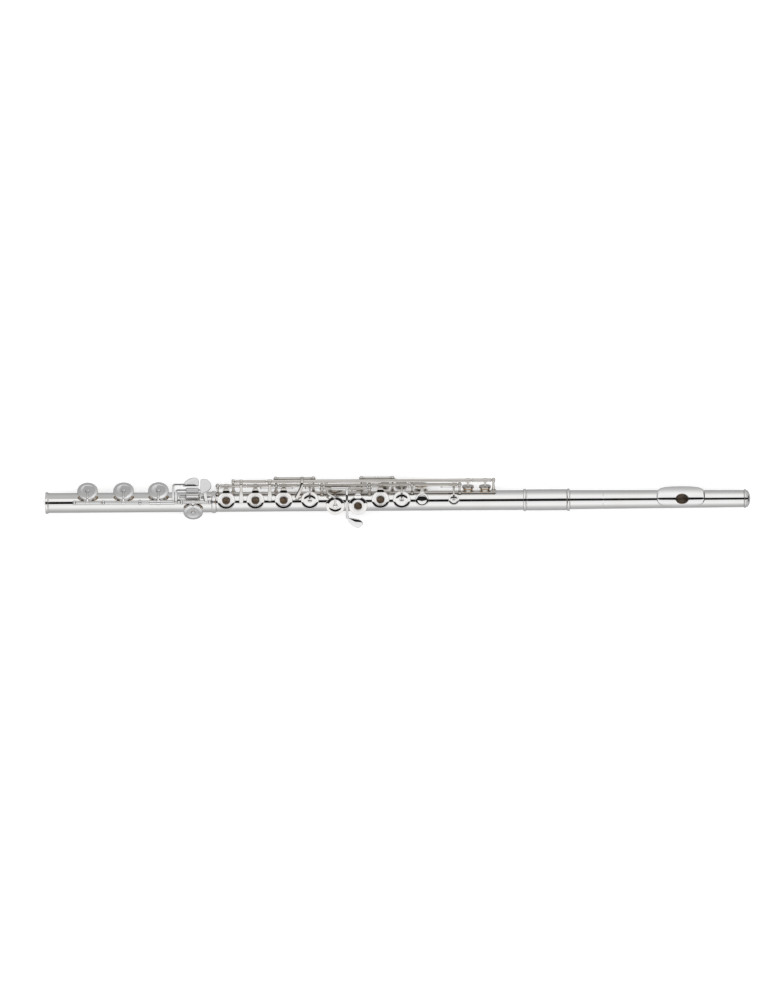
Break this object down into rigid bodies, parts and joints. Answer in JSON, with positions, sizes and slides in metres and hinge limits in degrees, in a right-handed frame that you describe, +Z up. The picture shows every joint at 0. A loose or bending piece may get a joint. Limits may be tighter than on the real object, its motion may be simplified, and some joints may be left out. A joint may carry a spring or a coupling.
{
  "type": "concert flute",
  "caption": "Silver concert flute with a low foot joint: a tapered head with lip plate, a body and foot with perforated and plain pad cups on hinge rods, levers and rollers.",
  "frame": {"origin": "middle of the bounding box's bottom face: below the middle of the tube, on the surface that the flute lies on, keys up", "axes": "+X along the tube from the foot to the crown, +Y towards the player (the side of the hinge rods), +Z up through the keys"},
  "size_m": [0.7048, 0.0524, 0.031],
  "materials": {
    "silver": "bright polished silver plate over nickel silver, with fine wiping marks",
    "steel": "drawn steel rod, oiled",
    "pad_skin": "yellow-tan bladder skin over felt",
    "cork": "natural cork"
  },
  "bodies": {
    "body_joint": {"body_tube": "silver", "barrel": "silver", "body_rib_and_posts": "silver", "right_hand_steel": "steel", "left_hand_steel": "steel", "offset_g_steel": "steel", "side_lever_steel": "steel", "thumb_steel": "steel"},
    "head_joint": {"head_tube": "silver", "lip_plate": "silver", "embouchure_riser": "silver"},
    "crown": {"crown": "silver"},
    "stopper": {"stopper_screw": "silver", "stopper_cork": "cork", "stopper_nut": "silver"},
    "foot_joint": {"foot_tube": "silver", "foot_rib_and_posts": "silver", "d_sharp_steel": "steel"},
    "d_key": {"d_key": "silver", "d_pad": "pad_skin"},
    "e_key": {"e_key": "silver", "e_pad": "pad_skin"},
    "f_key": {"f_key": "silver", "f_pad": "pad_skin"},
    "f_sharp_key": {"f_sharp_key": "silver", "f_sharp_pad": "pad_skin"},
    "connecting_tube": {"connecting_tube": "silver"},
    "a_key": {"a_key": "silver", "a_pad": "pad_skin"},
    "b_flat_key": {"b_flat_key": "silver", "b_flat_pad": "pad_skin"},
    "c_key": {"c_key": "silver", "c_sharp_pad": "pad_skin"},
    "g_keys": {"g_keys": "silver", "g_lower_pad": "pad_skin", "g_upper_pad": "pad_skin"},
    "g_sharp_key": {"g_sharp_key": "silver", "g_sharp_pad": "pad_skin"},
    "d_trill_key": {"d_trill_key": "silver", "d_trill_pad": "pad_skin"},
    "d_sharp_trill_key": {"d_sharp_trill_key": "silver", "d_sharp_trill_pad": "pad_skin"},
    "side_b_flat_lever": {"side_b_flat_lever": "silver"},
    "thumb_key": {"thumb_key": "silver", "thumb_pad": "pad_skin"},
    "thumb_b_flat_lever": {"thumb_b_flat_lever": "silver"},
    "low_b_key": {"low_b_key": "silver", "low_b_pad": "pad_skin"},
    "low_c_key": {"low_c_key": "silver", "low_c_pad": "pad_skin"},
    "low_c_sharp_key": {"low_c_sharp_key": "silver", "low_c_sharp_pad": "pad_skin"},
    "d_sharp_key": {"d_sharp_key": "silver", "d_sharp_pad": "pad_skin"},
    "low_b_roller": {"low_b_roller": "silver"},
    "low_c_roller": {"low_c_roller": "silver"}
  },
  "joints": [
    {"name": "head_tuning_slide", "type": "slide", "parent": "body_joint", "child": "head_joint", "axis": [1, 0, 0], "range_m": [0, 0.012]},
    {"name": "foot_turn", "type": "hinge", "parent": "body_joint", "child": "foot_joint", "pos_m": [-0.1894, 0.0013, 0.0112], "axis": [1, 0, 0], "range_deg": [-30, 30]},
    {"name": "crown_turn", "type": "hinge", "parent": "head_joint", "child": "crown", "pos_m": [0.3476, 0.0013, 0.0112], "axis": [1, 0, 0], "range_deg": [-360, 360]},
    {"name": "stopper_slide", "type": "slide", "parent": "head_joint", "child": "stopper", "axis": [1, 0, 0], "range_m": [-0.0008, 0.0008]},
    {"name": "d_key_hinge", "type": "hinge", "parent": "body_joint", "child": "d_key", "pos_m": [-0.1714, 0.0172, 0.0207], "axis": [1, 0, 0], "range_deg": [0, 10], "stiffness_Nm_per_rad": 0.012, "springref_deg": -17.19},
    {"name": "e_key_hinge", "type": "hinge", "parent": "body_joint", "child": "e_key", "pos_m": [-0.1422, 0.0172, 0.0207], "axis": [1, 0, 0], "range_deg": [0, 10], "stiffness_Nm_per_rad": 0.012, "springref_deg": -17.19},
    {"name": "f_key_hinge", "type": "hinge", "parent": "body_joint", "child": "f_key", "pos_m": [-0.114, 0.0172, 0.0207], "axis": [1, 0, 0], "range_deg": [0, 10], "stiffness_Nm_per_rad": 0.012, "springref_deg": -17.19},
    {"name": "f_sharp_key_hinge", "type": "hinge", "parent": "body_joint", "child": "f_sharp_key", "pos_m": [-0.0879, 0.0172, 0.0207], "axis": [1, 0, 0], "range_deg": [0, 10], "stiffness_Nm_per_rad": 0.012, "springref_deg": -17.19},
    {"name": "connecting_tube_hinge", "type": "hinge", "parent": "body_joint", "child": "connecting_tube", "pos_m": [-0.05215, 0.0172, 0.0207], "axis": [1, 0, 0], "range_deg": [0, 10]},
    {"name": "a_key_hinge", "type": "hinge", "parent": "body_joint", "child": "a_key", "pos_m": [-0.0174, 0.0172, 0.0207], "axis": [1, 0, 0], "range_deg": [0, 10], "stiffness_Nm_per_rad": 0.012, "springref_deg": -17.19},
    {"name": "b_flat_key_hinge", "type": "hinge", "parent": "body_joint", "child": "b_flat_key", "pos_m": [0.0038, 0.0172, 0.0207], "axis": [1, 0, 0], "range_deg": [0, 10], "stiffness_Nm_per_rad": 0.012, "springref_deg": -17.19},
    {"name": "c_key_hinge", "type": "hinge", "parent": "body_joint", "child": "c_key", "pos_m": [0.0241, 0.0172, 0.0207], "axis": [1, 0, 0], "range_deg": [0, 10], "stiffness_Nm_per_rad": 0.012, "springref_deg": -17.19},
    {"name": "g_keys_hinge", "type": "hinge", "parent": "body_joint", "child": "g_keys", "pos_m": [-0.0399, 0.0137, 0.0231], "axis": [1, 0, 0], "range_deg": [0, 9.5], "stiffness_Nm_per_rad": 0.012, "springref_deg": -17.19},
    {"name": "g_sharp_key_hinge", "type": "hinge", "parent": "body_joint", "child": "g_sharp_key", "pos_m": [-0.0629, 0.0137, 0.0231], "axis": [1, 0, 0], "range_deg": [0, 10], "stiffness_Nm_per_rad": 0.012, "springref_deg": -17.19},
    {"name": "d_trill_key_hinge", "type": "hinge", "parent": "body_joint", "child": "d_trill_key", "pos_m": [0.0701, 0.0214, 0.0242], "axis": [1, 0, 0], "range_deg": [0, 11], "stiffness_Nm_per_rad": 0.012, "springref_deg": -17.19},
    {"name": "d_sharp_trill_key_hinge", "type": "hinge", "parent": "body_joint", "child": "d_sharp_trill_key", "pos_m": [0.0871, 0.0214, 0.0242], "axis": [1, 0, 0], "range_deg": [0, 11], "stiffness_Nm_per_rad": 0.012, "springref_deg": -17.19},
    {"name": "side_b_flat_lever_hinge", "type": "hinge", "parent": "body_joint", "child": "side_b_flat_lever", "pos_m": [-0.0956, 0.0239, 0.0198], "axis": [1, 0, 0], "range_deg": [0, 5], "stiffness_Nm_per_rad": 0.012, "springref_deg": -17.19},
    {"name": "thumb_key_hinge", "type": "hinge", "parent": "body_joint", "child": "thumb_key", "pos_m": [0.0231, 0.0239, 0.0198], "axis": [1, 0, 0], "range_deg": [-12, 0], "stiffness_Nm_per_rad": 0.012, "springref_deg": 17.19},
    {"name": "thumb_b_flat_lever_hinge", "type": "hinge", "parent": "body_joint", "child": "thumb_b_flat_lever", "pos_m": [-0.0284, 0.0239, 0.0198], "axis": [1, 0, 0], "range_deg": [-10, 0], "stiffness_Nm_per_rad": 0.012, "springref_deg": 17.19},
    {"name": "low_b_key_hinge", "type": "hinge", "parent": "foot_joint", "child": "low_b_key", "pos_m": [-0.3099, 0.0013, 0.0277], "axis": [1, 0, 0], "range_deg": [-10, 0], "stiffness_Nm_per_rad": 0.012, "springref_deg": 17.19},
    {"name": "low_c_key_hinge", "type": "hinge", "parent": "foot_joint", "child": "low_c_key", "pos_m": [-0.2739, 0.0013, 0.0277], "axis": [1, 0, 0], "range_deg": [-10, 0], "stiffness_Nm_per_rad": 0.012, "springref_deg": 17.19},
    {"name": "low_c_sharp_key_hinge", "type": "hinge", "parent": "foot_joint", "child": "low_c_sharp_key", "pos_m": [-0.2391, 0.0013, 0.0277], "axis": [1, 0, 0], "range_deg": [-10, 0], "stiffness_Nm_per_rad": 0.012, "springref_deg": 17.19},
    {"name": "d_sharp_key_hinge", "type": "hinge", "parent": "foot_joint", "child": "d_sharp_key", "pos_m": [-0.2046, 0.0013, 0.0277], "axis": [1, 0, 0], "range_deg": [-10, 0], "stiffness_Nm_per_rad": 0.012, "springref_deg": 17.19},
    {"name": "low_b_roller_spin", "type": "hinge", "parent": "low_b_key", "child": "low_b_roller", "pos_m": [-0.2053, 0.0077, 0.0281], "axis": [1, 0, 0], "continuous": true},
    {"name": "low_c_roller_spin", "type": "hinge", "parent": "low_c_key", "child": "low_c_roller", "pos_m": [-0.2053, 0.0133, 0.0281], "axis": [1, 0, 0], "continuous": true}
  ],
  "couplings": [
    {"joint": "stopper_slide", "follows": "crown_turn", "m_per_rad": 0.000111},
    {"joint": "f_sharp_key_hinge", "follows": "f_key_hinge", "ratio": 1},
    {"joint": "connecting_tube_hinge", "follows": "f_key_hinge", "ratio": 1},
    {"joint": "b_flat_key_hinge", "follows": "a_key_hinge", "ratio": 1}
  ]
}
